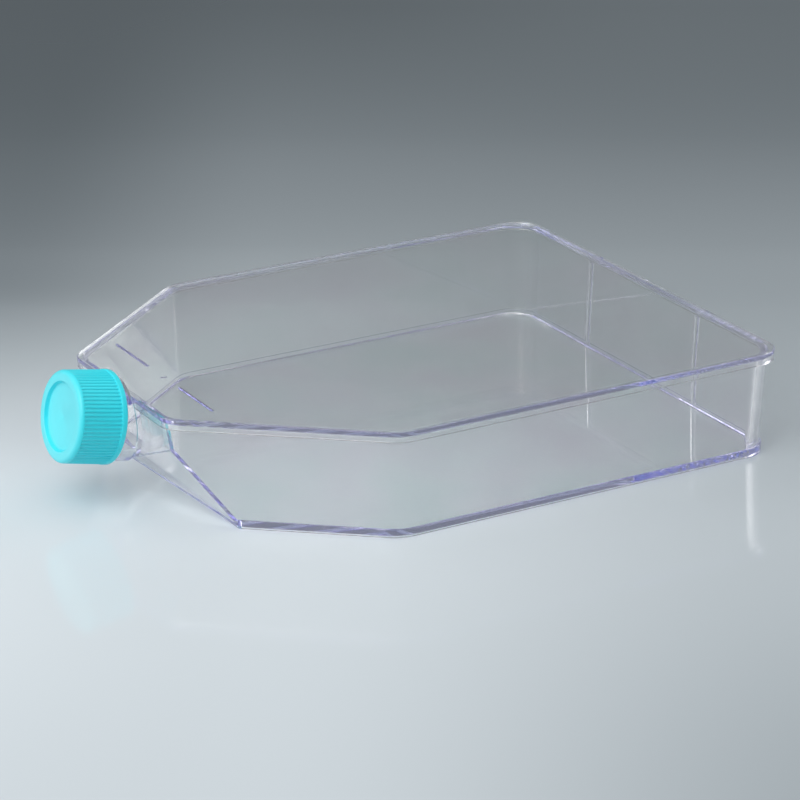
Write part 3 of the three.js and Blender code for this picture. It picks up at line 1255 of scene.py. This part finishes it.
@dataclass(frozen=True)
class Bench:
    """Pale glossy bench whose colour is painted with shade, falling off away from its brightest place.

    Its grey, the painted shade, is a ramp of the depth along the view, one each for the left, the middle and
    the right.
    """

    heading: float = 59.81
    size: float = 6.0
    level: float = -0.05 * MM
    roughness: float = 0.06
    ior: float = 1.3
    depths: tuple[float, ...] = (-0.28, -0.10, 0.0, 0.14, 0.22, 0.38, 0.62)
    sides: tuple[float, ...] = (-0.16, -0.04, 0.16)
    # painted shade: the greys are dark far off, lighter near, and lighter to the left
    shade_greys: tuple[tuple[int, ...], ...] = (
        (210, 222, 204, 138, 112, 86, 71),
        (204, 210, 200, 167, 142, 112, 80),
        (160, 182, 168, 150, 138, 108, 90),
    )
    coolness: tuple[int, int] = (8, 13)

    def ramp(self, tree: Tree, depth: Socket, shade_greys: tuple[int, ...]) -> Socket:
        """Colour along the depth, with its painted shade.

        Args:
            tree: the material's tree.
            depth: distance along the view.
            shade_greys: one level for each of the depths.

        Returns:
            The colour.
        """
        near, far = self.depths[0], self.depths[-1]
        green, blue = self.coolness
        stops = [
            ((place - near) / (far - near), linear(grey, grey + green, grey + blue))
            for place, grey in zip(self.depths, shade_greys)
        ]
        settings = {"stops": stops, "curve": "CARDINAL"}
        return tree.add("ShaderNodeValToRGB", settings, {"Fac": (depth - near) / (far - near)})["Color"]

    def build(self) -> bpy.types.Object:
        """Plane with the ramps mixed across the view.

        Returns:
            The bench.
        """
        half, z = self.size / 2, self.level
        mesh = bpy.data.meshes.new("bench")
        places = [(-half, -half, z), (half, -half, z), (half, half, z), (-half, half, z)]
        mesh.from_pydata(places, [], [(0, 1, 2, 3)])
        bench = bpy.data.objects.new("bench", mesh)
        bpy.context.scene.collection.objects.link(bench)
        material = bpy.data.materials.new("glossy_bench")
        tree = Tree(material)
        place = tree.add("ShaderNodeTexCoord")["Object"]
        place = tree.add("ShaderNodeSeparateXYZ", values={"Vector": place})
        cosine, sine = math.cos(math.radians(self.heading)), math.sin(math.radians(self.heading))
        depth = place["X"] * cosine + place["Y"] * sine
        across = place["X"] * sine - place["Y"] * cosine
        colour = self.ramp(tree, depth, self.shade_greys[0])
        for start, end, shade_greys in zip(self.sides, self.sides[1:], self.shade_greys[1:]):
            share = ((across - start) / (end - start)).eased()
            colour = tree.blend(share, colour, self.ramp(tree, depth, shade_greys))
        shader = tree.add(
            "ShaderNodeBsdfPrincipled",
            values={"Base Color": colour, "Roughness": self.roughness, "IOR": self.ior},
        )
        tree.add("ShaderNodeOutputMaterial", values={"Surface": shader["BSDF"]})
        mesh.materials.append(material)
        return bench


@dataclass(frozen=True)
class Window:
    """A soft round light far away: its direction, how bright it is, and the cosines of its rims."""

    way: Triple
    level: float
    edge: float
    core: float

    def glow(self, tree: Tree, way: Socket) -> Socket:
        """Its brightness in a direction.

        Args:
            tree: the world's tree.
            way: the direction.

        Returns:
            The level, with a smooth rim.
        """
        facing = tree.vector("DOT_PRODUCT", way, self.way)["Value"]
        return ((facing - self.edge) / (self.core - self.edge)).eased() * self.level


@dataclass(frozen=True)
class Studio:
    """Soft light from a bright overcast ceiling, dim walls, a broad window to the left and a low one right."""

    bounces: int = 256
    wall_tone: Colour = (0.223, 0.24, 0.251, 1.0)
    ceiling_tone: Colour = (1.0, 1.0, 1.0, 1.0)
    wall_top: float = 0.42
    ceiling_start: float = 0.75
    ceiling_level: float = 1.0
    overhead: Triple = (-0.34, -0.10, 0.935)
    left: Window = Window((-0.62, -0.23, 0.75), 3.1, 0.883, 0.978)
    right: Window = Window((0.917, 0.08, 0.39), 2.8, 0.96, 0.99)

    def build(self) -> None:
        """Makes the world: a ramp of the direction's height, and two soft round windows."""
        world = bpy.data.worlds.new("studio")
        bpy.context.scene.world = world
        tree = Tree(world)
        way = tree.add("ShaderNodeTexCoord")["Generated"]
        height = tree.vector("DOT_PRODUCT", way, self.overhead)["Value"]
        stops = [(self.wall_top, self.wall_tone), (self.ceiling_start, self.ceiling_tone)]
        sky = tree.add("ShaderNodeValToRGB", {"stops": stops}, {"Fac": height})
        room = tree.add("ShaderNodeBackground", values={"Color": sky["Color"], "Strength": self.ceiling_level})
        glow = self.left.glow(tree, way) + self.right.glow(tree, way)
        window = tree.add("ShaderNodeBackground", values={"Color": (1.0, 1.0, 1.0, 1.0), "Strength": glow})
        both = tree.add("ShaderNodeAddShader", values={0: room["Background"], 1: window["Background"]})
        tree.add("ShaderNodeOutputWorld", values={"Surface": both["Shader"]})
        scene = bpy.context.scene
        scene.view_settings.view_transform = "Standard"
        scene.cycles.max_bounces = self.bounces
        scene.cycles.transmission_bounces = self.bounces
        scene.cycles.glossy_bounces = self.bounces
        scene.cycles.blur_glossy = 0.0


# ---- assembly ----


def corners(pair: tuple[Vector, Vector]) -> list[list[float]]:
    """Two corners as plain lists."""
    return [list(pair[0]), list(pair[1])]


def main() -> None:
    """Builds the flask, its finishes and the stage."""
    logging.basicConfig(level=logging.INFO, format="%(name)s: %(message)s")
    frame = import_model()
    plate_low, plate_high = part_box("top_plate")
    footprint = Footprint(plate_high.x, plate_high.x - plate_low.x, plate_high.y - plate_low.y)
    thread = Thread()
    clearance = 0.3 * MM
    tray_top = 37.3 * MM
    inset = 1.7 * MM
    rise = 27.9 * MM
    front = footprint.front + inset + (tray_top - rise) * FlaskBody.lean
    axis = NeckAxis((front, 0.0, rise))
    clear = ClearPlastic().build()
    turquoise = CapPlastic(
        "turquoise_polyethylene",
        linear(54, 228, 242),
        root=axis.root,
        way=axis.way,
        # the face's paler colour is painted light, not a colour of the plastic
        lit_face_colour=linear(115, 243, 254),
    ).build()
    foam = MouldedPlastic("white_foam", linear(240, 240, 236), roughness=0.9).build()

    body = FlaskBody(footprint, axis, thread, tray_top, inset, clearance)
    plate = TopPlate(footprint, axis, plate_high.z, body.throat + clearance)
    pieces = [
        (body.build(clear), "flask", "flask_body", "clear_polystyrene"),
        (plate.build(clear), "flask", "top_plate", "clear_polystyrene"),
        (ScrewCap(axis, thread).build(turquoise), "cap", "screw_cap", "turquoise_polyethylene"),
    ]
    for piece, carrier, node, slot in pieces:
        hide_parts(node)
        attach(piece, carrier)
        LOG.info("%s: %d faces", piece.name, len(piece.data.polygons))
    liner = frame["nodes"]["seal_liner"]
    liner.data.materials.clear()
    liner.data.materials.append(foam)

    Bench().build()
    Studio().build()
    View().build()


if __name__ == "__main__":
    main()
